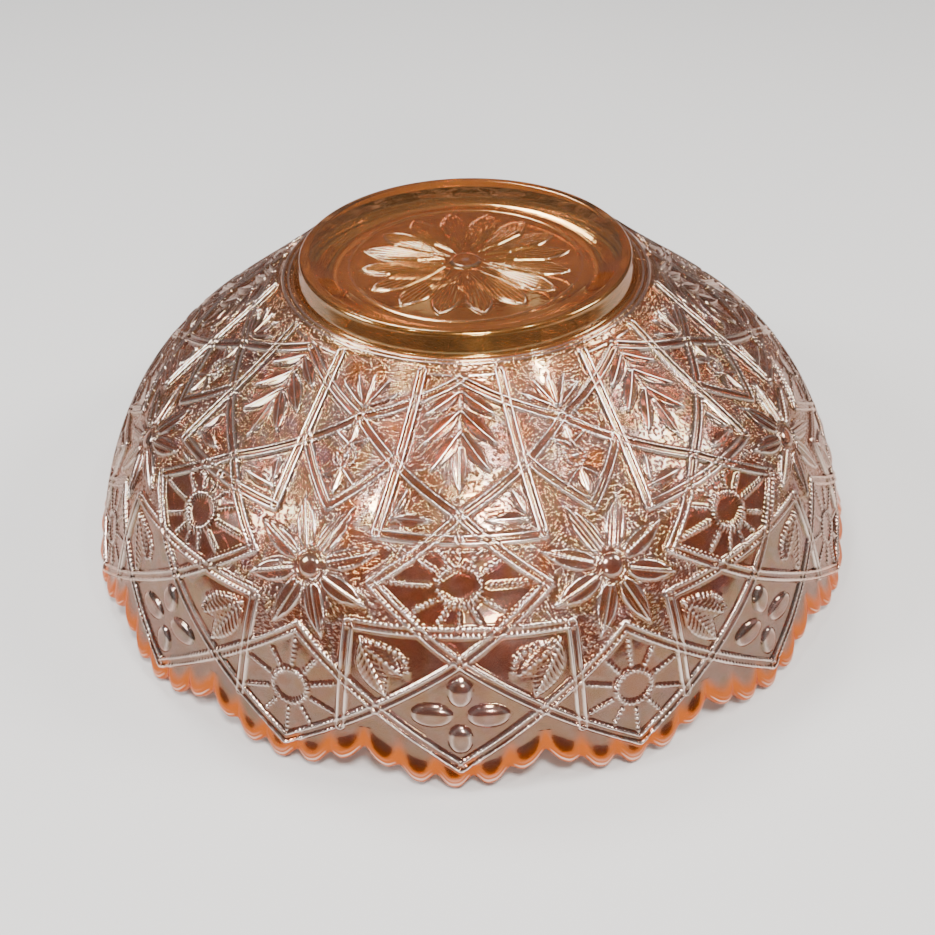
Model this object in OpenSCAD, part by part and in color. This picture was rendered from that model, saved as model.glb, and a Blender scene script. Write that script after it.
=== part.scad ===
// Pressed glass bowl with a saw-tooth rim, upside down: it stands on its teeth, foot ring uppermost.
// The real bowl is one pressing. Each module is one region of that pressing, named as people name
// the parts of a bowl, and neighbouring regions meet face to face. The axis of the bowl is Z, and
// z = 0 is the level of the longest teeth. All sizes are in millimetres and all angles in degrees.

/* [Wall] */
// Radius of the bowl at the tips of the longest teeth
rim_r = 108; // [90:0.5:130]
// Height from the longest teeth to the resting face of the foot
bowl_h = 81.4; // [66:0.2:100]
// Thickness of the wall
wall_t = 4.8; // [3.5:0.1:6.5]
// Lean of the wall away from upright at the rim
rim_lean = 16; // [8:1:24]
// Slope of the wall below level where it leaves the shoulder
shoulder_slope = 39; // [25:1:48]
// How firmly the wall keeps its slope at the shoulder, as a share of the wall's span
shoulder_hold = 0.48; // [0.3:0.02:0.6]
// How firmly the wall keeps its lean at the rim, as a share of the wall's span
rim_hold = 0.56; // [0.3:0.02:0.65]

// Height of the line that parts the pattern's flower band from its diamond band
zone_h = 37.5; // [28:0.5:46]

/* [Foot and base] */
// Outer radius of the foot ring at its resting face
foot_r = 42.8; // [34:0.2:54]
// Width of the foot ring at its resting face, rounded edges included
foot_w = 3.4; // [3:0.1:6]
// How much the foot ring spreads outwards from its resting face to its root
foot_draft = 1.2; // [0.4:0.1:2]
// Slope of the foot ring's inner side below level
foot_slope = 33; // [30:1:75]
// Radius of the foot ring's two rounded edges
foot_round = 1.1; // [0.4:0.1:1.4]
// Thickness of the base inside the foot ring
base_t = 5; // [3.5:0.1:6]
// Radius of the round button in the middle of the base
button_r = 4.2; // [1:0.1:6]
// How far that button stands up
button_h = 0.6; // [0.2:0.1:1]

/* [Collar] */
// Width of the plain collar between the foot and the flower band
collar_w = 3.7; // [2.8:0.1:8]
// Drop from the foot's resting face to the collar
collar_drop = 5.6; // [4.6:0.1:9]
// Thickness of each of the two raised lines around the collar
line_w = 1; // [0.4:0.1:1.2]
// Clear space between those two lines
line_gap = 0.4; // [0.2:0.1:1]

/* [Rim] */
// Number of scallops around the rim
scallops = 16; // [8:2:24]
// Number of teeth on each scallop
teeth = 5; // [3:2:7]
// Height by which a scallop's end lies above its middle
scallop_rise = 7; // [3:0.5:10]
// Depth of the notch beside a scallop's middle tooth
tooth_depth = 2.6; // [1:0.1:4]
// How much of that depth is lost by a scallop's end, as a share
tooth_fade = 0.6; // [0:0.05:0.8]
// Height of whole glass between the deepest notch and the diamond band
band_h = 5; // [3:0.5:8]

/* [Hidden] */
$fn = 120;
flower_steps = 15;    // straight steps in the side view of the flower band
diamond_steps = 7;    // the same in the diamond band
rim_steps = 6;        // the same in the rim
tooth_steps = 6;      // straight steps around one tooth
round_steps = 4;      // straight steps around a rounded foot edge
cut_over = 4;         // how far a cutting tool runs past the glass
notch_flat = 0.3;     // half the width of the flat in the deepest notch

// The wall's outer side view is one curve from the shoulder to the rim, steered by four points.
root_r = foot_r + foot_draft;
shoulder = [root_r + collar_w, bowl_h - collar_drop];
rim_edge = [rim_r, 0];
span = norm(rim_edge - shoulder);
steer = [shoulder,
         shoulder + shoulder_hold * span * [cos(shoulder_slope), -sin(shoulder_slope)],
         rim_edge + rim_hold * span * [-sin(rim_lean), cos(rim_lean)],
         rim_edge];

function curve_at(t) = pow(1 - t, 3) * steer[0] + 3 * t * pow(1 - t, 2) * steer[1]
                     + 3 * t * t * (1 - t) * steer[2] + pow(t, 3) * steer[3];
function curve_way(t) = let (d = pow(1 - t, 2) * (steer[1] - steer[0])
                               + 2 * t * (1 - t) * (steer[2] - steer[1])
                               + t * t * (steer[3] - steer[2])) d / norm(d);
// A point of the wall at t along its curve, depth in from the outer surface
function wall_at(t, depth) = let (w = curve_way(t)) curve_at(t) + depth * [w[1], -w[0]];
// Where along the curve its height is z, found by halving
function place_of(z, low = 0, high = 1, turns = 24) =
    let (mid = (low + high) / 2)
    turns == 0 ? mid
    : curve_at(mid)[1] > z ? place_of(z, mid, high, turns - 1) : place_of(z, low, mid, turns - 1);
// Side view of the wall from t0 to t1: down the outside and back up the inside
function wall_slice(t0, t1, steps) = concat(
    [for (i = [0 : steps]) wall_at(t0 + (t1 - t0) * i / steps, 0)],
    [for (i = [steps : -1 : 0]) wall_at(t0 + (t1 - t0) * i / steps, wall_t)]);
// A rounded corner of the side view about centre, from angle a0 to a1
function corner(centre, r, a0, a1) = [for (i = [0 : round_steps])
    let (a = a0 + (a1 - a0) * i / round_steps) centre + r * [cos(a), sin(a)]];

floor_z = wall_at(0, wall_t)[1];
base_z = floor_z + base_t;
collar_z = shoulder[1];
band_top = scallop_rise + tooth_depth + band_h;
band_place = place_of(band_top);
zone_place = place_of(zone_h);

// Height of the toothed edge at angle a from the middle of its scallop
half_scallop = 180 / scallops;
pitch = 2 * half_scallop / teeth;
function edge_z(a) = let (out = pow(a / half_scallop, 2))
    scallop_rise * out + tooth_depth * (1 - tooth_fade * out) * (1 - cos(360 * a / pitch)) / 2;

// The ring that the bowl stands on when it is in use
module foot_ring() {
    top = bowl_h - foot_round;
    inner_edge = corner([foot_r - foot_w + foot_round, top], foot_round, 90, 90 + foot_slope);
    slope_top = inner_edge[round_steps];
    color([0.86, 0.40, 0.08, 0.8])
        rotate_extrude()
            polygon(concat(
                [[root_r, base_z]],
                corner([foot_r - foot_round, top], foot_round, 0, 90),
                inner_edge,
                [[slope_top[0] - (slope_top[1] - base_z) / tan(foot_slope), base_z]]));
}

// The flat bottom inside the foot, with the button at the middle of its flower
module base_disc() {
    color([0.80, 0.42, 0.12, 0.8])
        union() {
            translate([0, 0, floor_z]) cylinder(r = root_r, h = base_t);
            translate([0, 0, base_z - button_h]) cylinder(r = button_r, h = 2 * button_h);
        }
}

// The plain shelf around the foot, with its two raised lines
module shoulder_collar() {
    outer_line = shoulder[0] - line_w / 2;
    color([0.66, 0.42, 0.20, 0.8])
        union() {
            rotate_extrude()
                polygon([[root_r, collar_z], shoulder, wall_at(0, wall_t), [root_r, floor_z]]);
            for (i = [0, 1])
                rotate_extrude()
                    translate([outer_line - i * (line_w + line_gap), collar_z])
                        intersection() {
                            circle(d = line_w, $fn = 24);
                            translate([-line_w, 0]) square([2 * line_w, line_w]);
                        }
        }
}

// The upper band of the wall, which carries the pattern of leaf sprays and large flowers
module flower_band() {
    color([0.66, 0.44, 0.30, 0.8])
        rotate_extrude()
            polygon(wall_slice(0, zone_place, flower_steps));
}

// The lower band of the wall, which carries the pattern of diamonds
module diamond_band() {
    color([0.66, 0.44, 0.36, 0.8])
        rotate_extrude()
            polygon(wall_slice(zone_place, band_place, diamond_steps));
}

// What the mould takes away below one scallop, as a bar that points straight out
module scallop_cut() {
    count = teeth * tooth_steps;
    end = rim_r * sin(half_scallop) + notch_flat;
    rotate([90, 0, 0])
        translate([0, 0, rim_r - 2 * wall_t - cut_over])
            linear_extrude(height = 2 * (wall_t + cut_over))
                polygon(concat(
                    [[-end, -cut_over], [-end, edge_z(half_scallop)]],
                    [for (i = [0 : count]) let (a = half_scallop * (2 * i / count - 1))
                        [rim_r * sin(a), edge_z(a)]],
                    [[end, edge_z(half_scallop)], [end, -cut_over]]));
}

// The plain band around the mouth, with its scallops of saw teeth
module sawtooth_rim() {
    color([0.84, 0.40, 0.16, 0.8])
        difference() {
            rotate_extrude()
                polygon(wall_slice(band_place, 1, rim_steps));
            for (i = [0 : scallops - 1])
                rotate([0, 0, 360 * i / scallops]) scallop_cut();
        }
}

foot_ring();
base_disc();
shoulder_collar();
flower_band();
diamond_band();
sawtooth_rim();
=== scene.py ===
"""A marigold carnival-glass bowl, upside down on its saw-tooth rim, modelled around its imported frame.

The glass is one body. It is laid out as rows that run around the bowl, from the middle of the base,
over the foot and down the outside to the teeth, then back up the smooth inside. Each named region of
the frame takes its own rows, so the regions join without a seam. Lengths here are in millimetres and
angles in degrees until a piece is made, in metres.
"""
import math

import bpy
import numpy as np
from mathutils import Matrix, Vector


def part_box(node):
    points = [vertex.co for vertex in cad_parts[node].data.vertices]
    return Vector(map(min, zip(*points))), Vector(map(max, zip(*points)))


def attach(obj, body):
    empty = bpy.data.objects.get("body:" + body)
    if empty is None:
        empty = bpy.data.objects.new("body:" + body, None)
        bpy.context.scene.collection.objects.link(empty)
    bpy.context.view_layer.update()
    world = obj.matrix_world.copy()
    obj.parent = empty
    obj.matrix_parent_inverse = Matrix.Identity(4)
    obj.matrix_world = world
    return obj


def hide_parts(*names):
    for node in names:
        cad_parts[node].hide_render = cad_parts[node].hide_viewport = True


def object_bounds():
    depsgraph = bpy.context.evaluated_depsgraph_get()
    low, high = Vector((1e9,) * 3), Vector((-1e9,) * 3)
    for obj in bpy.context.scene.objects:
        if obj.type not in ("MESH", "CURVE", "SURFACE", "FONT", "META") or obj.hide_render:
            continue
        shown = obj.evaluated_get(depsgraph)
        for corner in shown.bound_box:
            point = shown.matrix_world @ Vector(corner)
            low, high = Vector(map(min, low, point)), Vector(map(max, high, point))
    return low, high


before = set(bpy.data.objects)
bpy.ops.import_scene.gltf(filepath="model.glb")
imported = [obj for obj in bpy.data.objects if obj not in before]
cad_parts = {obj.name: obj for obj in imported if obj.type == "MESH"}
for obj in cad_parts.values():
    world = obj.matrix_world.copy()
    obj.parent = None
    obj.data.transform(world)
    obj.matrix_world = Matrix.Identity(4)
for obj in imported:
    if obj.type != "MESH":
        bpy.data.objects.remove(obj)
cad_box = [list(corner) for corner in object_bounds()]

# ---------------------------------------------------------------- sizes

MM = 0.001


def reach(node, axis, end):
    """How far a frame node reaches along an axis, in mm: end 0 is its lowest side, 1 its highest."""
    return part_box(node)[end][axis] / MM


X, Z = 0, 2
rim_r = cad_box[1][X] / MM
bowl_h = cad_box[1][Z] / MM
root_r = reach("foot_ring", X, 1)
base_z = reach("foot_ring", Z, 0)
collar_z = reach("flower_band", Z, 1)
shoulder_r = reach("shoulder_collar", X, 1)
floor_z = reach("base_disc", Z, 0)
zone_z = reach("diamond_band", Z, 1)
band_z = reach("sawtooth_rim", Z, 1)

wall_t = 4.8
rim_lean, shoulder_slope = 16, 39
shoulder_hold, rim_hold = 0.48, 0.56
foot_w, foot_draft, foot_slope, foot_round = 3.4, 1.2, 33, 1.1
button_r, button_h = 4.2, 0.6
line_w, line_gap = 1.0, 0.4
scallops, teeth = 16, 5
scallop_rise, tooth_depth, tooth_fade = 7.0, 2.6, 0.6
lip_reach = 1.6           # how far the fire-polished lip swells past the wall

sector = 45.0             # the pattern repeats this often around the bowl
columns = 240             # steps around one sector
row_step = 0.4            # step between rows on the patterned outside
pattern_lead = 0.8        # the pattern was pressed this far round from the scallops


# ---------------------------------------------------------------- the wall's side view

def wall_curve():
    """The outer side view from the shoulder to the rim: radius, height and the two parts of its way."""
    shoulder = np.array([shoulder_r, collar_z])
    edge = np.array([rim_r, 0.0])
    span = np.linalg.norm(edge - shoulder)
    slope, lean = math.radians(shoulder_slope), math.radians(rim_lean)
    first = shoulder + shoulder_hold * span * np.array([math.cos(slope), -math.sin(slope)])
    second = edge + rim_hold * span * np.array([-math.sin(lean), math.cos(lean)])
    t = np.linspace(0, 1, 1200)[:, None]
    point = ((1 - t) ** 3 * shoulder + 3 * t * (1 - t) ** 2 * first
             + 3 * t * t * (1 - t) * second + t ** 3 * edge)
    way = ((1 - t) ** 2 * (first - shoulder) + 2 * t * (1 - t) * (second - first)
           + t * t * (edge - second))
    way /= np.linalg.norm(way, axis=1)[:, None]
    run = np.concatenate([[0], np.cumsum(np.linalg.norm(np.diff(point, axis=0), axis=1))])
    return run, point, way


RUN, POINT, WAY = wall_curve()


def along(s, values):
    """A value of the wall's side view at distance s down it from the shoulder."""
    return np.interp(s, RUN, values)


def run_to(z):
    """How far down the wall the height z lies."""
    return np.interp(-np.asarray(z, float), -POINT[:, 1], RUN)


def wall(s, depth):
    """Radius and height at distance s down the wall, depth in from its outer surface."""
    way_r, way_z = along(s, WAY[:, 0]), along(s, WAY[:, 1])
    return along(s, POINT[:, 0]) + depth * way_z, along(s, POINT[:, 1]) - depth * way_r


# ---------------------------------------------------------------- the pressed pattern

def smooth(edge0, edge1, x):
    t = np.clip((x - edge0) / (edge1 - edge0), 0, 1)
    return t * t * (3 - 2 * t)


def bump(d, width):
    return np.exp(-(d / width) ** 2)


class Field:
    """Places on the outside of the wall: angle round from the middle of a sector, distance down it."""

    def __init__(self, angle, s):
        self.angle, self.s = angle, s
        self.mm = along(s, POINT[:, 0]) * math.pi / 180   # millimetres round per degree

    def from_point(self, place):
        return (self.angle - place[0]) * self.mm, self.s - place[1]

    def from_line(self, start, end):
        """Along a straight line as a share of it, and the distance away from it on either side."""
        x, y = self.from_point(start)
        dx, dy = (end[0] - start[0]) * self.mm, end[1] - start[1]
        share = np.clip((x * dx + y * dy) / (dx * dx + dy * dy), 0, 1)
        return share, np.hypot(x - share * dx, y - share * dy)

    def within(self, corners):
        """How far inside a convex outline each place lies, negative outside. Corners go clockwise."""
        depth = np.full_like(self.s, 1e9)
        for a, b in zip(corners, corners[1:] + corners[:1]):
            x, y = self.from_point(a)
            dx, dy = (b[0] - a[0]) * self.mm, b[1] - a[1]
            depth = np.minimum(depth, (dx * y - dy * x) / np.hypot(dx, dy))
        return depth


def beads(share, length, pitch):
    """0 to 1 and back along a row of beads, about one pitch each."""
    return 0.5 + 0.5 * np.cos(2 * np.pi * share * length / pitch)


def line_length(field, start, end):
    return np.hypot((end[0] - start[0]) * field.mm, end[1] - start[1])


def double_rib(field, start, end, beading=0.0):
    """Two fine crests side by side on a low bar. Beading notches the crests."""
    share, d = field.from_line(start, end)
    notch = beading * beads(share, line_length(field, start, end), 1.2)
    return 0.3 * smooth(1.65, 1.2, d) + 0.52 * bump(d - 0.84, 0.32) * (1 - notch)


def beaded_line(field, start, end, width=0.5):
    share, d = field.from_line(start, end)
    return bump(d, width) * (0.15 + 0.42 * beads(share, line_length(field, start, end), 1.2))


def leaf(field, base, tip, half_width, veined=0.0):
    """A pointed, crowned leaf with a fine rolled edge and a midrib, and slanting veins if asked."""
    share, d = field.from_line(base, tip)
    half = half_width * np.sin(np.pi * np.clip(share, 0.001, 0.999) ** 0.9) ** 0.8
    inside = half - d
    crown = 0.62 * np.sqrt(np.clip(1 - (d / np.maximum(half, 0.05)) ** 2, 0, 1)) * smooth(0, 0.5, half)
    rib = 0.2 * bump(d, 0.26) * (inside > 0)
    run = share * line_length(field, base, tip) - 0.9 * d
    vein = veined * np.cos(2 * np.pi * run / 1.4) * smooth(0.3, 0.8, inside)
    return np.maximum(crown + rib + vein + 0.12 * bump(inside - 0.25, 0.2) * (inside > 0), 0)


def beads_round(field, centre, rx, ry, count, width=0.75):
    """A ring of beads, rx wide and ry tall."""
    x, y = field.from_point(centre)
    rho = np.hypot(x / rx, y / ry)
    d = (rho - 1) * np.hypot(x, y) / np.maximum(rho, 0.05)
    bead = 0.5 + 0.5 * np.cos(count * np.arctan2(y / ry, x / rx))
    return bump(d, width) * (0.24 + 0.56 * bead)


def beaded_spoke(field, centre, turn, start, frame_depth):
    """A row of beads that runs out from a rosette to the frame around it."""
    x, y = field.from_point(centre)
    ux, uy = math.cos(math.radians(turn)), math.sin(math.radians(turn))
    t, d = x * ux + y * uy, np.abs(x * uy - y * ux)
    room = smooth(0.9, 1.7, frame_depth) * smooth(start, start + 0.4, t)
    return bump(d, 0.5) * (0.24 + 0.4 * beads(1, t, 1.15)) * room


def dome(field, centre, rx, ry, height):
    x, y = field.from_point(centre)
    return height * np.sqrt(np.clip(1 - (x / rx) ** 2 - (y / ry) ** 2, 0, 1))


def large_flower(field, centre):
    """Eight ribbed petals round a button."""
    x, y = field.from_point(centre)
    height = np.zeros_like(x)
    for k in range(8):
        turn = math.radians(22.5 + 45 * k)
        t = x * math.cos(turn) + y * math.sin(turn)
        d = np.abs(x * math.sin(turn) - y * math.cos(turn))
        share = np.clip((t - 2.2) / 14.4, 0.001, 0.999)
        inside = 2.6 * np.sin(np.pi * share ** 0.85) ** 0.9 - d
        inside = np.where((t > 2.2) & (t < 16.6), inside, -1)
        petal = 0.5 * smooth(0, 0.8, inside) + 0.3 * bump(inside - 0.35, 0.26)
        petal += (0.3 * bump(d, 0.3) + 0.12 * np.cos(2 * np.pi * d / 0.95)) * smooth(0.3, 0.8, inside)
        height = np.maximum(height, petal)
    rho = np.hypot(x, y) / 2.8
    button = np.sqrt(np.clip(1 - rho ** 2, 0, 1)) + 0.4 * bump(rho - 1.22, 0.15)
    return np.where(rho < 1.45, button, height)


def rosette(field, centre, rx, ry, count, spokes, frame_depth, bead_width):
    """A ring of beads round a plain eye, with beaded spokes."""
    height = beads_round(field, centre, rx, ry, count, bead_width)
    for k in range(spokes):
        turn = 90 + 360 * k / spokes
        start = 1.25 * math.hypot(rx * math.cos(math.radians(turn)), ry * math.sin(math.radians(turn)))
        height = np.maximum(height, beaded_spoke(field, centre, turn, start, frame_depth))
    return height


def quatrefoil(field, centre):
    """Four smooth lobes."""
    a, s = centre
    side = 6.3 / field.mm
    height = np.zeros_like(field.s)
    for sign in (-1, 1):
        x, y = (field.angle - a - sign * side) * field.mm, field.s - s
        height = np.maximum(height, np.sqrt(np.clip(1 - (x / 4.8) ** 2 - (y / 2.8) ** 2, 0, 1)))
        height = np.maximum(height, dome(field, (a, s + sign * 5.8), 2.9, 3.5, 1.0))
    return height


# The lattice of double ribs: from and to (degrees round, mm down the wall) for the right half of a
# sector, and how deep its beading is. The left half mirrors it.
LATTICE = [
    ((10.2, 1.6), (13.3, 40.5), 0.0),      # upright of the upper frame
    ((0, 40.5), (13.3, 40.5), 0.0),        # its foot
    ((0, 3.4), (22.5, 15), 0.0),           # zigzag below the collar
    ((22.5, 15), (0, 35.2), 0.15),         # long slants that cross
    ((0, 35.2), (12.7, 51.2), 0.25),
    ((12.6, 22.8), (22.5, 36.6), 0.15),    # lower sides of the small diamond
    ((12.7, 51.2), (0, 67.5), 0.35),
    ((0, 67.5), (22.5, 93), 0.2),          # sides of the large diamonds
    ((22.5, 64.5), (0, 93), 0.45),
    ((0, 60.6), (15.2, 60.6), 0.45),       # lintel of the lower frame
    ((15.2, 60.6), (15.2, 85.5), 0.0),     # its post
]
HEXAGON = [(-4, 41), (4, 41), (12.7, 51), (4, 60.4), (-4, 60.4), (-12.7, 51)]


def both_sides(draw, *places, **more):
    """The same motif on the right and, mirrored, on the left."""
    mirrored = [(-a, s) for a, s in places]
    return np.maximum(draw(*places, **more), draw(*mirrored, **more))


def wall_relief(angle, s):
    """Height of the pattern, and how grainy its ground is, both at places on the outside."""
    field = Field(angle, s)
    height = np.zeros_like(s)

    def put(more):
        np.maximum(height, more, out=height)

    def leaves(base, tip, half_width, veined=0.0):
        put(both_sides(lambda b, t: leaf(field, b, t, half_width, veined), base, tip))

    for start, end, beading in LATTICE:
        put(both_sides(lambda b, t: double_rib(field, b, t, beading), start, end))
    put(0.5 * bump(field.from_line((-9.2, 2.4), (9.2, 2.4))[1], 0.35))
    put(both_sides(lambda b, t: beaded_line(field, b, t), (0, 43.2), (11, 43.2)))
    put(both_sides(lambda b, t: beaded_line(field, b, t), (10.9, 52.2), (5.2, 59.2)))

    # leaf spray in the upper frame
    put(0.4 * bump(field.from_line((0, 6), (0, 20))[1], 0.4))
    put(leaf(field, (0, 18.6), (0, 30.2), 1.8))
    side_leaves = ((6, (8.0, 12.2), 1.8), (10.6, (7.8, 19.2), 2.0), (15.6, (5.8, 25.4), 1.9))
    for base_s, tip, half in side_leaves:
        leaves((0, base_s), tip, half)
    # leaves in the triangles beside it
    leaves((11.3, 36.5), (4.2, 36.3), 1.4)
    leaves((11.0, 35.6), (9.2, 29.4), 1.3)
    put(both_sides(lambda c: dome(field, c, 1.1, 1.1, 0.7), (11.2, 36.6)))
    # sprays between the collar and the zigzag, and in the small diamonds
    for tip_a, tip_s in ((22.5, 4), (18, 4.6), (14.6, 7.5)):
        leaves((22.5, 12.6), (tip_a, tip_s), 1.2)
    for tip_a, tip_s in ((22.5, 34), (18.8, 31)):
        leaves((22.5, 27.2), (tip_a, tip_s), 1.3)
    leaves((22.5, 21.6), (18.6, 19.4), 1.2)
    for side in (-22.5, 22.5):
        put(leaf(field, (side, 21.6), (side, 16.8), 1.2))
        put(beads_round(field, (side, 24.4), 2.3, 2.3, 14, 0.6))
        put(dome(field, (side, 24.4), 1.1, 1.1, 0.6))
        put(large_flower(field, (side, 50.4)))
    # the middle rosette and the two at the sector's ends
    put(rosette(field, (0, 50.4), 4.6, 4.1, 28, 12, field.within(HEXAGON), 1.0))
    for side in (-22.5, 22.5):
        kite = [(side, 64.5), (side + 11.3, 79.6), (side, 93), (side - 11.3, 79.6)]
        put(rosette(field, (side, 79.3), 4.3, 3.95, 26, 10, field.within(kite), 0.7))
    put(quatrefoil(field, (0, 80.2)))
    # broad leaves in the lower frame, beaded along their upper edge
    leaves((13.2, 64.3), (9.4, 76.4), 3.4, 0.12)
    leaves((13.2, 64.3), (7.2, 71.0), 2.9, 0.12)
    edge = [(13.2, 63.9), (10.6, 64.5), (8.4, 65.7), (7.1, 67.7), (6.8, 70.6)]
    for start, end in zip(edge, edge[1:]):
        put(both_sides(lambda b, t: 1.5 * beaded_line(field, b, t, 0.6), start, end))

    ground = smooth(0.35, 0.0, height)
    plain_eye = smooth(-0.5, 0.5, field.within(HEXAGON))
    upper = smooth(61, 60, s) * (1 - plain_eye)
    round_flower = smooth(15.0, 15.6, np.abs(angle)) * smooth(60, 61, s)
    for side in (-22.5, 22.5):
        diamond = [(side, 64.3), (side + 11.5, 79.5), (side, 93), (side - 11.5, 79.5)]
        round_flower *= smooth(0.5, -0.5, field.within(diamond))
    round_flower *= smooth(82, 78, s)
    return height, ground * np.clip(upper + round_flower, 0, 1)


def base_flower(angle, r):
    """Height of the many-petalled flower pressed in the base, at places on its flat."""
    petals = 16
    pitch = 360 / petals
    off = angle % pitch - pitch / 2
    lateral = np.abs(r * np.sin(np.radians(off)))
    share = np.clip((r - 5.0) / 22.6, 0.001, 0.999)
    half = 3.7 * np.sin(np.pi * share ** 1.6) ** 0.75 * smooth(0, 0.1, share)
    half = np.minimum(half, 0.9 * r * math.tan(math.radians(pitch / 2)))
    inside = np.where((r > 5.0) & (r < 27.6), half - lateral, -1)
    petal = 0.5 * smooth(0, 1.2, inside) + 0.35 * bump(inside - 0.3, 0.26)
    petal += 0.05 * np.cos(2 * np.pi * off / 3.2) * smooth(0.6, 1.2, inside)
    ring = 0.25 * bump(r - 30.2, 0.4)
    return petal + ring + button_h * smooth(button_r, button_r - 0.6, r)


# ---------------------------------------------------------------- rows round the bowl

class Rows:
    """Rows of points round one sector, with what the finish needs to know at each point."""

    def __init__(self):
        self.parts = []
        self.count = 0

    def add(self, r, z, relief=0.0, grain=0.0, amber=0.0):
        """Adds rows and returns the number of the last one."""
        shape = (len(r), columns)
        full = [np.broadcast_to(v if np.ndim(v) != 1 else v[:, None], shape).astype(float)
                for v in (r, z, relief, grain, amber)]
        self.parts.append(np.stack(full))
        self.count += len(r)
        return self.count - 1

    def table(self):
        return np.concatenate(self.parts, axis=1)


turn = np.arange(columns) * sector / columns - sector / 2
pattern_turn = (turn - pattern_lead + sector / 2) % sector - sector / 2


def tooth_edge(angle):
    """Height of the toothed edge, and 0 to 1 across each tooth, from its notch to its middle."""
    half_scallop = 180 / scallops
    pitch = 2 * half_scallop / teeth
    a = (angle + half_scallop) % (2 * half_scallop) - half_scallop
    out = (a / half_scallop) ** 2
    wave = ((1 - np.cos(2 * np.pi * a / pitch)) / 2) ** 1.5
    a_tooth = (a + pitch / 2) % pitch - pitch / 2
    swell = 1 - (2 * a_tooth / pitch) ** 2
    return scallop_rise * out + tooth_depth * (1 - tooth_fade * out) * wave, swell


def arc(centre_r, centre_z, radius, start, end, steps):
    a = np.radians(np.linspace(start, end, steps))
    return centre_r + radius * np.cos(a), centre_z + radius * np.sin(a)


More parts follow.
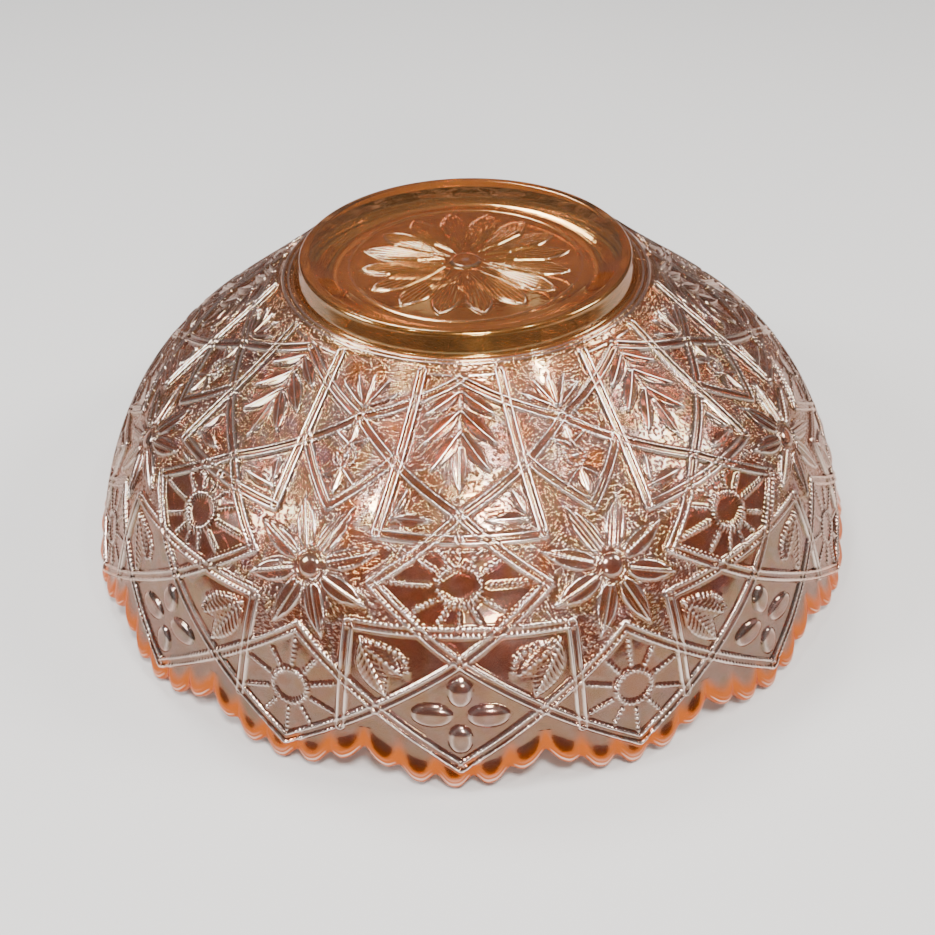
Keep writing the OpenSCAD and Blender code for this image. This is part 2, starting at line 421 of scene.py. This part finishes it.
def lay_rows():
    """All rows of the bowl in order, and the numbers of the rows where the regions meet."""
    rows, mark = Rows(), {}

    # the base, seen inside the foot, with its flower
    foot_r = root_r - foot_draft
    top = bowl_h - foot_round
    r1, z1 = arc(foot_r - foot_w + foot_round, top, foot_round, 90 + foot_slope, 90, 6)
    r2, z2 = arc(foot_r - foot_round, top, foot_round, 90, 0, 7)
    slope = math.radians(foot_slope)
    root_in = r1[0] - (z1[0] - base_z) / math.tan(slope)
    cove = 1.5
    r = np.linspace(0.5, root_in - cove, 90)
    flower = base_flower(np.tile(turn, (len(r), 1)), np.tile(r[:, None], (1, columns)))
    mark["foot_in"] = rows.add(r, base_z + flower, flower, 0.0, 1.0)

    # the foot ring
    t = np.linspace(0, 1, 6)[1:]
    rows.add(root_in - cove * (1 - t) ** 2 + cove * math.cos(slope) * t * t,
             base_z + cove * math.sin(slope) * t * t, 0, 0, 1.0)
    rise = np.linspace(0, 1, 8)[1:-1]
    low_r, low_z = root_in + cove * math.cos(slope), base_z + cove * math.sin(slope)
    rows.add(low_r + (r1[0] - low_r) * rise, low_z + (z1[0] - low_z) * rise, 0, 0, 1.0)
    rows.add(r1, z1, 0, 0, 1.0)
    rows.add(np.linspace(r1[-1], r2[0], 4)[1:-1], np.full(2, bowl_h), 0, 0, 1.0)
    rows.add(r2, z2, 0, 0, 1.0)
    fillet = 1.2
    rows.add(r2[-1] + (root_r - r2[-1]) * rise, z2[-1] + (collar_z + fillet - z2[-1]) * rise, 0, 0, 1.0)
    r3, z3 = arc(root_r + fillet * 0.4, collar_z + fillet, fillet, 180, 270, 6)
    r3 = root_r + (r3 - r3[0]) * 0.7
    mark["foot_out"] = rows.add(r3, z3, 0, 0, 0.95)

    # the collar, with its two raised lines
    r = np.linspace(r3[-1], shoulder_r, 18)[1:]
    outer_line = shoulder_r - line_w / 2
    lift = np.zeros_like(r)
    for k in (0, 1):
        off = (r - outer_line + k * (line_w + line_gap)) / (line_w / 2)
        lift = np.maximum(lift, line_w / 2 * np.sqrt(np.clip(1 - off ** 2, 0, 1)))
    grain = 0.6 * (lift <= 0)
    mark["wall_top"] = rows.add(r, collar_z + lift, lift * 2, grain, np.linspace(0.85, 0.5, len(r)))

    # the patterned outside, in its two bands
    def outside(s):
        height, grain = wall_relief(np.broadcast_to(pattern_turn, s.shape), s)
        height = height * smooth(0.2, 1.4, s)
        return height, grain

    def lay_wall(s_from, s_to):
        s = np.linspace(s_from, s_to, max(2, round((s_to - s_from) / row_step)) + 1)[1:]
        s = np.tile(s[:, None], (1, columns))
        height, grain = outside(s)
        r, z = wall(s, -height)
        amber = 0.5 * smooth(10, 0, s)
        return rows.add(r, z, height, grain, amber)

    s_zone, s_band = float(run_to(zone_z)), float(run_to(band_z))
    mark["zone_out"] = lay_wall(0, s_zone)
    mark["band_out"] = lay_wall(s_zone, s_band)

    # the rim, from the band's edge to the teeth, its polished lip, and back up inside
    edge_z, swell = tooth_edge(turn)
    way_r, way_z = WAY[-1]
    lip_low = math.hypot(wall_t / 2 * way_r, lip_reach * way_z)
    s_lip = run_to(edge_z + lip_low + wall_t / 2 * way_r)
    share = np.linspace(0, 1, 40)[1:, None]
    s = s_band + (s_lip - s_band) * share
    height, grain = outside(s)
    to_edge = s_lip - s
    height = height + 0.9 * swell * smooth(6.5, 0.5, to_edge) * (1 - 0.35 * smooth(1.5, 0, to_edge))
    amber = smooth(8 - 1.6 * swell, 2, to_edge)
    r, z = wall(s, -height)
    rows.add(r, z, height, grain, amber)
    a = np.linspace(0, np.pi, 12)[1:, None]
    out_r, out_z = r[-1], z[-1]
    in_r, in_z = wall(s_lip, wall_t)
    mid_r, mid_z = (out_r + in_r) / 2, (out_z + in_z) / 2
    lip_r = mid_r + (out_r - mid_r) * np.cos(a) + lip_reach * way_r * np.sin(a)
    lip_z = mid_z + (out_z - mid_z) * np.cos(a) + lip_reach * way_z * np.sin(a)
    rows.add(lip_r, lip_z, 0, 0, 1.0)
    back = np.linspace(1, 0, 14)[1:, None]
    s = s_band + (s_lip - s_band) * back
    r, z = wall(s, wall_t)
    mark["band_in"] = rows.add(r, z, 0, 0, smooth(8 - 1.6 * swell, 2, s_lip - s))

    # the smooth inside
    def lay_inside(s_from, s_to, steps):
        r, z = wall(np.linspace(s_from, s_to, steps + 1)[1:], wall_t)
        return rows.add(r, z, 0, 0, 0)

    mark["zone_in"] = lay_inside(s_band, s_zone, 14)
    mark["wall_in"] = lay_inside(s_zone, 0, 30)
    mark["collar_in"] = rows.add(np.array([root_r]), np.array([floor_z]), 0, 0, 0.5)
    rows.add(np.linspace(root_r, 0.5, 16)[1:], np.full(15, floor_z), 0, 0, 0.8)
    return rows.table(), mark


TABLE, MARK = lay_rows()


def around(sector_rows):
    """One sector's rows repeated all round the bowl."""
    return np.tile(sector_rows, (1, round(360 / sector)))


def bowl_points():
    r, z = around(TABLE[0]), around(TABLE[1])
    a = np.radians((turn[None, :] + sector * np.arange(round(360 / sector))[:, None]).ravel())
    return np.stack([r * np.sin(a), -r * np.cos(a), z], axis=-1) * MM


POINTS = bowl_points()
RELIEF, GRAIN, AMBER = (around(layer) for layer in TABLE[2:])


def crests(height):
    """Where the film is painted silvery and fuller, as painted highlight: 1 on narrow ridges, which
    stand clear of the glass a millimetre away, less on tall domes, and 0 elsewhere."""
    steps = ((2, 0), (-2, 0), (3, 1), (-3, 1))
    nearby = sum(np.roll(height, step, axis) for step, axis in steps) / len(steps)
    ridges = np.clip((height - nearby - 0.04) / 0.16, 0, 1)
    return np.maximum(ridges, 0.2 * smooth(0.8, 1.1, height))


# The crest mask is painted highlight: it makes the film silvery and fuller on ridges and domes. Grain
# is the glass's real stipple, and amber is its own colour.
FINISH_AND_HIGHLIGHT = {"crest": crests(RELIEF), "grain": GRAIN, "amber": AMBER}
ALL_ROUND = POINTS.shape[1]


def bowl_normals():
    """The outward direction at every point, the same on both sides of a line where regions meet."""
    down = np.gradient(POINTS, axis=0)
    right = np.roll(POINTS, -1, axis=1) - np.roll(POINTS, 1, axis=1)
    normal = np.cross(down, right)
    return normal / np.maximum(np.linalg.norm(normal, axis=-1), 1e-12)[..., None]


NORMALS = bowl_normals()


# ---------------------------------------------------------------- pieces

def unroll(loop_rows, loop_columns, row_runs):
    """A flat map of a region: its circle cut in four, laid out two by two."""
    quarter = ALL_ROUND // 4
    block = np.minimum(loop_columns // quarter, 3)
    u = (loop_columns - block * quarter) / quarter
    v = row_runs[loop_rows]
    margin = 0.01
    u = (block % 2) * 0.5 + margin + u * (0.5 - 2 * margin)
    v = (block // 2) * 0.5 + margin + v * (0.5 - 2 * margin)
    return np.stack([u, v], axis=-1)


def make_region(name, row_numbers, poles=False):
    """One closed region of the glass, from the numbers of its rows in order round its side view."""
    rows = np.array(row_numbers)
    n = len(rows)
    points = POINTS[rows].reshape(-1, 3)
    normals = NORMALS[rows].reshape(-1, 3)
    strips = n - 1 if poles else n
    i = np.arange(strips)
    below = (i + 1) % n
    j = np.arange(ALL_ROUND)
    right = (j + 1) % ALL_ROUND
    corner_rows = np.stack([i, below, below, i], axis=-1)[:, None, :]
    corner_columns = np.stack([j, j, right, right], axis=-1)[None, :, :]
    quads = (corner_rows * ALL_ROUND + corner_columns).reshape(-1, 4)
    is_joint = np.repeat(np.abs(rows[below] - rows[i]) != 1, ALL_ROUND)
    sides = np.full(len(quads), 4)
    loops = quads.ravel()
    side_view = np.concatenate([POINTS[rows, 0], POINTS[rows[:1], 0]])
    step = np.linalg.norm(np.diff(side_view, axis=0), axis=-1)
    runs = np.concatenate([[0], np.cumsum(step)])
    runs /= runs[-1]
    grid = (strips, ALL_ROUND, 4)
    loop_rows = np.broadcast_to(np.stack([i, i + 1, i + 1, i], axis=-1)[:, None, :], grid).ravel()
    loop_columns = np.broadcast_to(np.stack([j, j, j + 1, j + 1], axis=-1)[None, :, :], grid).ravel()
    if poles:
        # one point on the axis closes the first row, and one closes the last
        top, low = len(points), len(points) + 1
        axis = [[0, 0, POINTS[rows[0], :, 2].max()], [0, 0, POINTS[rows[-1], :, 2].mean()]]
        points = np.concatenate([points, axis])
        normals = np.concatenate([normals, [[0, 0, 1], [0, 0, -1]]])
        first = np.stack([np.full_like(j, top), j, right], axis=-1)
        last_row = (n - 1) * ALL_ROUND
        last = np.stack([last_row + j, np.full_like(j, low), last_row + right], axis=-1)
        loops = np.concatenate([loops, first.ravel(), last.ravel()])
        sides = np.concatenate([sides, np.full(2 * ALL_ROUND, 3)])
        is_joint = np.concatenate([is_joint, np.zeros(2 * ALL_ROUND, bool)])
        fan_rows = np.concatenate([np.zeros(3 * ALL_ROUND, int), np.full(3 * ALL_ROUND, n - 1)])
        fan_columns = np.tile(np.stack([j, j, j + 1], axis=-1).ravel(), 2)
        loop_rows = np.concatenate([loop_rows, fan_rows])
        loop_columns = np.concatenate([loop_columns, fan_columns])

    mesh = bpy.data.meshes.new(name)
    mesh.vertices.add(len(points))
    mesh.vertices.foreach_set("co", points.astype(np.float32).ravel())
    mesh.loops.add(len(loops))
    mesh.loops.foreach_set("vertex_index", loops.astype(np.int32))
    mesh.polygons.add(len(sides))
    starts = np.concatenate([[0], np.cumsum(sides)[:-1]])
    mesh.polygons.foreach_set("loop_start", starts.astype(np.int32))
    mesh.polygons.foreach_set("material_index", is_joint.astype(np.int32))
    mesh.polygons.foreach_set("use_smooth", np.ones(len(sides), bool))
    for finish, values in FINISH_AND_HIGHLIGHT.items():
        layer = mesh.attributes.new(finish, "FLOAT", "POINT")
        flat = values[rows].ravel()
        if poles:
            flat = np.concatenate([flat, [values[rows[0]].max(), values[rows[-1]].max()]])
        layer.data.foreach_set("value", flat.astype(np.float32))
    uv = mesh.uv_layers.new(name="OFBake")
    uv.data.foreach_set("uv", unroll(loop_rows, loop_columns, runs).astype(np.float32).ravel())
    mesh.update(calc_edges=True)
    mesh.normals_split_custom_set_from_vertices(normals.tolist())
    piece = bpy.data.objects.new(name, mesh)
    bpy.context.scene.collection.objects.link(piece)
    return piece


def span_rows(start, end):
    """Row numbers from one mark to the next, both ends included."""
    first = 0 if start is None else MARK[start]
    last = len(POINTS) - 1 if end is None else MARK[end]
    return list(range(first, last + 1))


# ---------------------------------------------------------------- shader writing

class Value:
    """A number that a node gives, with ordinary arithmetic."""

    def __init__(self, paint, socket):
        self.paint, self.socket = paint, socket

    def _maths(self, operation, *numbers):
        node = self.paint.node("ShaderNodeMath", {"operation": operation}, dict(enumerate(numbers)))
        return Value(self.paint, node.outputs[0])

    def __add__(self, other):
        return self._maths("ADD", self, other)

    def __sub__(self, other):
        return self._maths("SUBTRACT", self, other)

    def __mul__(self, other):
        return self._maths("MULTIPLY", self, other)

    def __rsub__(self, other):
        return self._maths("SUBTRACT", other, self)

    __radd__, __rmul__ = __add__, __mul__

    def clamped(self):
        node = self.paint.node("ShaderNodeClamp", {}, {"Value": self})
        return Value(self.paint, node.outputs[0])

    def between(self, low, high):
        """0 below low, 1 above high, smooth between them."""
        node = self.paint.node("ShaderNodeMapRange", {"interpolation_type": "SMOOTHSTEP"},
                               {"Value": self, "From Min": low, "From Max": high})
        return Value(self.paint, node.outputs[0])


class Paint:
    """Builds one material's nodes."""

    def __init__(self, name):
        self.material = bpy.data.materials.new(name)
        self.material.use_nodes = True
        self.tree = self.material.node_tree
        self.tree.nodes.clear()

    def node(self, kind, settings=None, values=None):
        node = self.tree.nodes.new(kind)
        for key, setting in (settings or {}).items():
            if key == "stops":
                ramp = node.color_ramp
                while len(ramp.elements) < len(setting):
                    ramp.elements.new(0.5)
                for element, (place, colour) in zip(ramp.elements, setting):
                    element.position, element.color = place, (*colour, 1)
            else:
                setattr(node, key, setting)
        for key, value in (values or {}).items():
            socket = node.inputs[key]
            if isinstance(value, Value):
                self.tree.links.new(value.socket, socket)
            elif isinstance(value, bpy.types.NodeSocket):
                self.tree.links.new(value, socket)
            elif socket.type == "RGBA" and len(value) == 3:
                socket.default_value = (*value, 1)
            else:
                socket.default_value = value
        return node

    def mark_or_highlight_of(self, name):
        """A number that the mesh carries at each point."""
        node = self.node("ShaderNodeAttribute", {"attribute_name": name})
        return Value(self, node.outputs["Fac"])

    def place(self):
        return self.node("ShaderNodeTexCoord").outputs["Object"]

    def height(self):
        """Height above the floor, in metres."""
        node = self.node("ShaderNodeSeparateXYZ", {}, {0: self.place()})
        return Value(self, node.outputs["Z"])

    def noise(self, size, detail=2, rough=0.5):
        """Cloudy variation whose patches are about size metres across."""
        node = self.node("ShaderNodeTexNoise", {}, {"Vector": self.place(), "Scale": 1 / size,
                                                    "Detail": detail, "Roughness": rough})
        return Value(self, node.outputs[0])

    def grains(self, size):
        """0 in the middle of each grain, rising to its edge."""
        node = self.node("ShaderNodeTexVoronoi", {}, {"Vector": self.place(), "Scale": 1 / size})
        return Value(self, node.outputs["Distance"])

    def mix(self, share, a, b):
        """Colour a where share is 0 and b where it is 1."""
        node = self.node("ShaderNodeMix", {"data_type": "RGBA"})
        for key, value in ((0, share), (6, a), (7, b)):
            socket = node.inputs[key]
            if isinstance(value, (Value, bpy.types.NodeSocket)):
                self.tree.links.new(value.socket if isinstance(value, Value) else value, socket)
            else:
                socket.default_value = value if key == 0 else (*value, 1)
        return node.outputs[2]

    def ramp(self, value, stops):
        return self.node("ShaderNodeValToRGB", {"stops": stops}, {"Fac": value}).outputs["Color"]

    def output(self, shader):
        self.node("ShaderNodeOutputMaterial", {}, {"Surface": shader})
        return self.material


# ---------------------------------------------------------------- finishes, with painted highlight and painted shade

def marigold_glass(name, film_thickness, film_index, amber_tint, amber_film, amber_cover):
    """Marigold glass under an iridescent film, film_thickness in nanometres. The film is coppery on the
    pattern's ground. On its crests it is painted silvery and fuller, as painted highlight. Near the
    table the glass and film are painted darker, as painted shade. amber_cover is how much more of it
    lies over the amber: next to none on the foot, and plenty on the teeth."""
    p = Paint(name)
    crest, grain, amber = p.mark_or_highlight_of("crest"), p.mark_or_highlight_of("grain"), p.mark_or_highlight_of("amber")
    drift = p.noise(0.03, 3)
    fleck = p.noise(0.004, 2)
    cloud = p.noise(0.011, 3, 0.6)

    # painted shade: the glass and film are darkened towards the table, fully below 1.2 cm and fading
    # out by 4.5 cm
    low = 1 - p.height().between(0.012, 0.045)
    body = p.mix(drift.between(0.35, 0.65), (0.64, 0.21, 0.10), (0.54, 0.26, 0.21))
    body = p.mix(low * 0.8, body, (0.44, 0.18, 0.15))
    glass_colour = p.mix(amber, body, amber_tint)
    film_tint = p.ramp(cloud, [(0.32, (0.56, 0.18, 0.05)), (0.41, (0.48, 0.23, 0.17)),
                               (0.48, (0.58, 0.45, 0.40)), (0.54, (0.52, 0.36, 0.17)),
                               (0.60, (0.52, 0.24, 0.13)), (0.68, (0.40, 0.25, 0.29))])
    # painted shade: a dark film colour towards the table
    film_tint = p.mix(low * 0.8, film_tint, (0.27, 0.14, 0.13))
    # painted highlight: the film turns silvery on the crests
    film_colour = p.mix(crest, p.mix(amber, film_tint, amber_film), (0.92, 0.77, 0.69))

    grain_dots = (0.55 - p.grains(0.0008)).clamped() * grain
    ripple = p.noise(0.0016, 2) * 0.5 + p.noise(0.006, 1)
    height = grain_dots * 1.1 + ripple * 0.12
    skin = p.node("ShaderNodeBump", {}, {"Strength": 0.6, "Distance": 0.0005, "Height": height})

    glass = p.node("ShaderNodeBsdfPrincipled", {}, {
        "Base Color": glass_colour, "Roughness": 0.04, "IOR": 1.52, "Transmission Weight": 1.0,
        "Specular Tint": (1.0, 0.75, 0.62), "Normal": skin.outputs[0],
        "Thin Film Thickness": film_thickness, "Thin Film IOR": film_index})
    film = p.node("ShaderNodeBsdfPrincipled", {}, {
        "Base Color": film_colour, "Metallic": 0.95, "Roughness": 0.17, "IOR": 1.52,
        "Specular Tint": (1.0, 0.52, 0.34), "Coat Weight": 0.25, "Coat Roughness": 0.03,
        "Normal": skin.outputs[0]})
    # the crests get more film, as painted highlight
    coverage = (0.18 + grain * 0.16 + crest * 0.46 + (fleck - 0.5) * 0.2
                # more dark film towards the table, as painted shade
                + low * 0.16 + amber * amber_cover)
    mixed = p.node("ShaderNodeMixShader", {}, {
        0: coverage.clamped(), 1: glass.outputs[0], 2: film.outputs[0]})
    return p.output(mixed.outputs[0])


def clear_joint():
    """Faces inside the glass, where one region goes on into the next: nothing to see."""
    p = Paint("clear_joint")
    return p.output(p.node("ShaderNodeBsdfTransparent").outputs[0])


def pale_floor():
    p = Paint("pale_floor")
    tone = p.mix(p.noise(0.25, 2), (0.66, 0.655, 0.65), (0.70, 0.69, 0.68))
    sheet = p.node("ShaderNodeBsdfPrincipled", {}, {"Base Color": tone, "Roughness": 0.7})
    return p.output(sheet.outputs[0])


# ---------------------------------------------------------------- the bowl

JOINT = clear_joint()
FINISHES = {
    "amber_foot": marigold_glass("amber_glass", 225.0, 1.8,
                                 (1.0, 0.60, 0.22), (0.98, 0.42, 0.10), 0.02),
    "patterned_glass": marigold_glass("patterned_glass", 255.0, 1.7,
                                      (0.95, 0.45, 0.13), (0.85, 0.40, 0.14), 0.0),
    "rim_glass": marigold_glass("rim_glass", 255.0, 1.7,
                                (0.70, 0.10, 0.004), (0.50, 0.10, 0.004), 0.5),
}

# Each region's finish, and its rows in order round its side view
REGIONS = {
    "foot_ring": ("amber_foot", span_rows("foot_in", "foot_out")),
    "base_disc": ("amber_foot",
                  span_rows(None, "foot_in") + [MARK["foot_out"]] + span_rows("collar_in", None)),
    "shoulder_collar": ("patterned_glass",
                        span_rows("foot_out", "wall_top") + span_rows("wall_in", "collar_in")),
    "flower_band": ("patterned_glass",
                    span_rows("wall_top", "zone_out") + span_rows("zone_in", "wall_in")),
    "diamond_band": ("patterned_glass",
                     span_rows("zone_out", "band_out") + span_rows("band_in", "zone_in")),
    "sawtooth_rim": ("rim_glass", span_rows("band_out", "band_in")),
}

for node, (slot, row_numbers) in REGIONS.items():
    region = make_region(node + "_glass", row_numbers, poles=node == "base_disc")
    region.data.materials.append(FINISHES[slot])
    region.data.materials.append(JOINT)
    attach(region, "root")
    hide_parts(node)


# ---------------------------------------------------------------- camera, floor and light

def place_camera():
    """The camera looks down at the upside-down bowl from in front of one scallop."""
    back, up = 2.483 * rim_r * MM, 2.025 * rim_r * MM
    round_by, look_down, look_left, tilt = (math.radians(d) for d in (2.76, 38.0, 0.18, -1.45))
    around_z = Matrix.Rotation(round_by, 3, "Z")
    ahead = around_z @ Vector((-math.sin(look_left) * math.cos(look_down),
                               math.cos(look_left) * math.cos(look_down), -math.sin(look_down)))
    level = ahead.cross(Vector((0, 0, 1))).normalized()
    upward = level.cross(ahead)
    right = math.cos(tilt) * level + math.sin(tilt) * upward
    top = math.cos(tilt) * upward - math.sin(tilt) * level
    data = bpy.data.cameras.new("camera")
    data.sensor_width = 36
    data.lens = 44.3
    data.clip_start = 0.01
    camera = bpy.data.objects.new("camera", data)
    turned = Matrix((right, top, -ahead)).transposed()
    camera.matrix_world = Matrix.Translation(around_z @ Vector((0, -back, up))) @ turned.to_4x4()
    bpy.context.scene.collection.objects.link(camera)
    bpy.context.scene.camera = camera


def soft_light(name, place, size, power, colour=(1, 1, 1)):
    """A square soft box that faces the bowl."""
    data = bpy.data.lights.new(name, "AREA")
    data.size, data.energy, data.color = size, power, colour
    light = bpy.data.objects.new(name, data)
    light.location = place
    light.rotation_euler = (Vector((0, 0, 0.04)) - Vector(place)).to_track_quat("-Z", "Y").to_euler()
    bpy.context.scene.collection.objects.link(light)


def lay_floor():
    mesh = bpy.data.meshes.new("floor")
    half = 3.0
    corners = [(-half, -half, 0), (half, -half, 0), (half, half, 0), (-half, half, 0)]
    mesh.from_pydata(corners, [], [(0, 1, 2, 3)])
    floor = bpy.data.objects.new("floor", mesh)
    floor.data.materials.append(pale_floor())
    bpy.context.scene.collection.objects.link(floor)


def light_room():
    world = bpy.data.worlds.new("room")
    world.use_nodes = True
    world.node_tree.nodes["Background"].inputs[0].default_value = (0.9, 0.93, 1.0, 1)
    world.node_tree.nodes["Background"].inputs[1].default_value = 0.18
    bpy.context.scene.world = world
    soft_light("key", (0.1, -0.5, 0.95), 0.2, 13, (1.0, 0.98, 0.95))
    soft_light("left_lamp", (-0.42, -0.4, 0.95), 0.06, 2, (1.0, 0.96, 0.9))
    soft_light("right_lamp", (0.5, -0.25, 1.0), 0.06, 2, (1.0, 0.97, 0.93))
    soft_light("front_lamp", (0.2, -1.2, 0.5), 0.14, 6, (1.0, 0.97, 0.94))
    soft_light("left_fill", (-0.9, -0.2, 0.7), 0.3, 9, (0.95, 0.97, 1.0))
    soft_light("right_fill", (0.9, 0.1, 0.75), 0.3, 8, (1.0, 0.97, 0.93))
    soft_light("back", (-0.3, 0.7, 1.15), 0.3, 9, (1.0, 0.98, 0.96))


place_camera()
lay_floor()
light_room()
